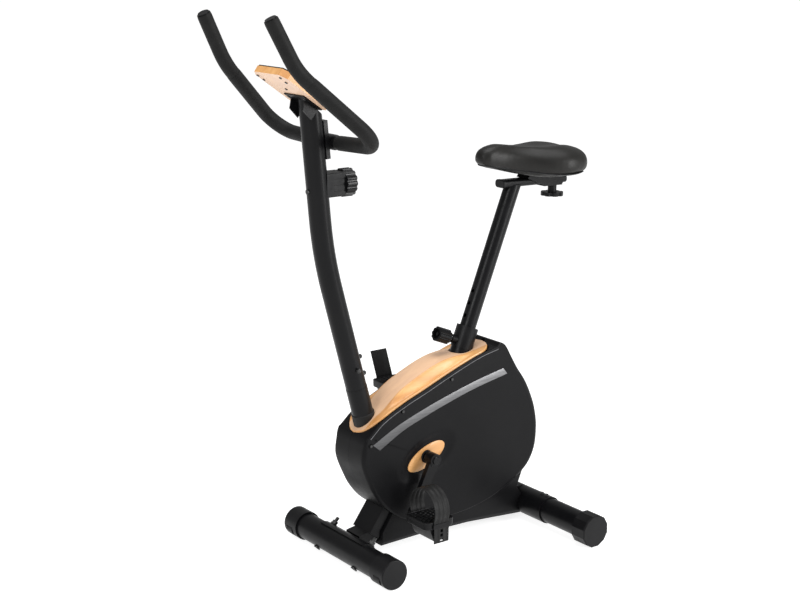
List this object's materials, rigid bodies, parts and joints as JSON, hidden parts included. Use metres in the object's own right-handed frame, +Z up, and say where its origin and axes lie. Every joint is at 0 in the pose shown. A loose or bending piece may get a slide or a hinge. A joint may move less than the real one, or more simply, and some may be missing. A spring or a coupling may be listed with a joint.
{
  "type": "upright exercise bike",
  "caption": "Upright magnetic exercise bike with a belt-driven flywheel in a rounded housing, curved handlebar post, sliding seat post and adjustable saddle.",
  "frame": {"origin": "on the floor under the middle of the bike's box", "axes": "+Z up, +X towards the rider's left, -Y forward, towards the handlebar"},
  "size_m": [0.564, 0.9271, 1.2341],
  "materials": {
    "black_powder_coat": "satin",
    "housing_plastic": "satin, fine grain",
    "black_plastic": "satin",
    "beech_wood": "satin lacquer",
    "silver_trim": "brushed",
    "bright_steel": "machined",
    "black_oxide": "satin",
    "grip_foam": "matt closed-cell foam",
    "saddle_cover": "soft satin",
    "strap_rubber": "satin",
    "belt_rubber": "matt",
    "iron": "machined",
    "display_glass": "glossy",
    "roller_plastic": "satin"
  },
  "bodies": {
    "frame": {"base_beam": "black_powder_coat", "front_leg": "black_powder_coat", "post_stub": "black_powder_coat", "flywheel_plates": "black_powder_coat", "seat_tube": "black_powder_coat", "seat_bushing": "black_plastic", "bottom_bracket": "black_powder_coat", "bearings": "bright_steel", "handlebar_post": "black_powder_coat", "handlebar_clamp": "black_powder_coat", "tension_box": "black_plastic", "console_board": "beech_wood", "console_case": "black_plastic", "console_lens": "display_glass", "console_bracket": "black_powder_coat", "front_stabiliser_tube": "black_powder_coat", "front_end_caps": "black_plastic", "rear_stabiliser_tube": "black_powder_coat", "rear_sleeve": "black_powder_coat", "housing_left": "housing_plastic", "housing_right": "housing_plastic", "top_cover": "beech_wood", "wood_ovals": "beech_wood", "silver_stripes": "silver_trim", "frame_bolts": "black_oxide", "self_tapping_screws": "black_oxide", "drive_belt": "belt_rubber", "brake_cable": "belt_rubber", "speed_sensor": "black_plastic"},
    "crank": {"crank_axle": "bright_steel", "crank_left": "black_powder_coat", "crank_right": "black_powder_coat", "crank_bolt_caps": "black_plastic", "drive_pulley": "black_plastic", "pedal_spindles": "bright_steel"},
    "left_pedal": {"pedal_left": "black_plastic", "pedal_strap_left": "strap_rubber"},
    "right_pedal": {"pedal_right": "black_plastic", "pedal_strap_right": "strap_rubber"},
    "flywheel_body": {"flywheel": "iron", "flywheel_axle": "bright_steel"},
    "brake_arm": {"magnet_arm": "black_powder_coat"},
    "seat_post_body": {"seat_post": "black_powder_coat", "seat_slide_bar": "black_powder_coat", "slide_bar_caps": "black_plastic"},
    "saddle": {"saddle_bracket": "black_powder_coat", "saddle_base": "black_plastic", "saddle_pad": "saddle_cover"},
    "saddle_clamp": {"saddle_knob": "black_plastic"},
    "seat_lock": {"seat_lock_shank": "bright_steel"},
    "seat_lock_plunger": {"seat_lock_knob": "black_plastic"},
    "handlebar": {"handlebar_tube": "black_powder_coat", "foam_grips": "grip_foam", "handlebar_plugs": "black_plastic"},
    "tension_control": {"tension_knob": "black_plastic"},
    "key": {"mode_key": "black_plastic"},
    "left_roller": {"roller_left": "roller_plastic"},
    "right_roller": {"roller_right": "roller_plastic"},
    "left_leveller": {"rear_cap_left": "black_plastic"},
    "right_leveller": {"rear_cap_right": "black_plastic"}
  },
  "joints": [
    {"name": "crank_spin", "type": "hinge", "parent": "frame", "child": "crank", "pos_m": [0, -0.008, 0.226], "axis": [1, 0, 0], "continuous": true},
    {"name": "flywheel_spin", "type": "hinge", "parent": "frame", "child": "flywheel_body", "pos_m": [0, 0.195, 0.235], "axis": [1, 0, 0], "continuous": true},
    {"name": "left_pedal_spin", "type": "hinge", "parent": "crank", "child": "left_pedal", "pos_m": [0.145, -0.06507, 0.114], "axis": [1, 0, 0], "continuous": true},
    {"name": "right_pedal_spin", "type": "hinge", "parent": "crank", "child": "right_pedal", "pos_m": [-0.145, 0.04907, 0.338], "axis": [1, 0, 0], "continuous": true},
    {"name": "brake_arm_swing", "type": "hinge", "parent": "frame", "child": "brake_arm", "pos_m": [0, 0.145, 0.342], "axis": [-1, 0, 0], "range_deg": [0, 3.5]},
    {"name": "tension_knob_turn", "type": "hinge", "parent": "frame", "child": "tension_control", "pos_m": [0, -0.19, 0.868], "axis": [0, 1, 0], "range_deg": [0, 315]},
    {"name": "seat_height", "type": "slide", "parent": "frame", "child": "seat_post_body", "axis": [0, 0.3735, 0.9276], "range_m": [-0.16, 0.07]},
    {"name": "saddle_slide", "type": "slide", "parent": "seat_post_body", "child": "saddle", "axis": [0, 0.9998, -0.0209], "range_m": [-0.04, 0.015]},
    {"name": "saddle_knob_turn", "type": "hinge", "parent": "saddle", "child": "saddle_clamp", "pos_m": [0, 0.40799, 0.81918], "axis": [0, 0.0209, 0.9998], "range_deg": [-360, 360]},
    {"name": "seat_lock_turn", "type": "hinge", "parent": "frame", "child": "seat_lock", "pos_m": [0, 0.09932, 0.4777], "axis": [0, -0.9276, 0.3735], "range_deg": [0, 360]},
    {"name": "seat_lock_pull", "type": "slide", "parent": "seat_lock", "child": "seat_lock_plunger", "axis": [0, -0.9276, 0.3735], "range_m": [0, 0.008], "stiffness_N_per_m": 600},
    {"name": "handlebar_tilt", "type": "hinge", "parent": "frame", "child": "handlebar", "pos_m": [0, -0.222, 0.958], "axis": [1, 0, 0], "range_deg": [-15, 15]},
    {"name": "mode_key_press", "type": "slide", "parent": "frame", "child": "key", "axis": [0, -0.575, -0.8181], "range_m": [0, 0.0015], "stiffness_N_per_m": 400},
    {"name": "left_roller_spin", "type": "hinge", "parent": "frame", "child": "left_roller", "pos_m": [0.177, -0.22255, 0.02579], "axis": [1, 0, 0], "continuous": true},
    {"name": "right_roller_spin", "type": "hinge", "parent": "frame", "child": "right_roller", "pos_m": [-0.177, -0.22255, 0.02579], "axis": [1, 0, 0], "continuous": true},
    {"name": "left_leveller_turn", "type": "hinge", "parent": "frame", "child": "left_leveller", "pos_m": [0.26, 0.316, 0.0395], "axis": [1, 0, 0], "range_deg": [-180, 180]},
    {"name": "right_leveller_turn", "type": "hinge", "parent": "frame", "child": "right_leveller", "pos_m": [-0.26, 0.316, 0.0395], "axis": [1, 0, 0], "range_deg": [-180, 180]}
  ],
  "couplings": [
    {"joint": "flywheel_spin", "follows": "crank_spin", "ratio": 6.3333},
    {"joint": "brake_arm_swing", "follows": "tension_knob_turn", "ratio": 0.011111}
  ]
}
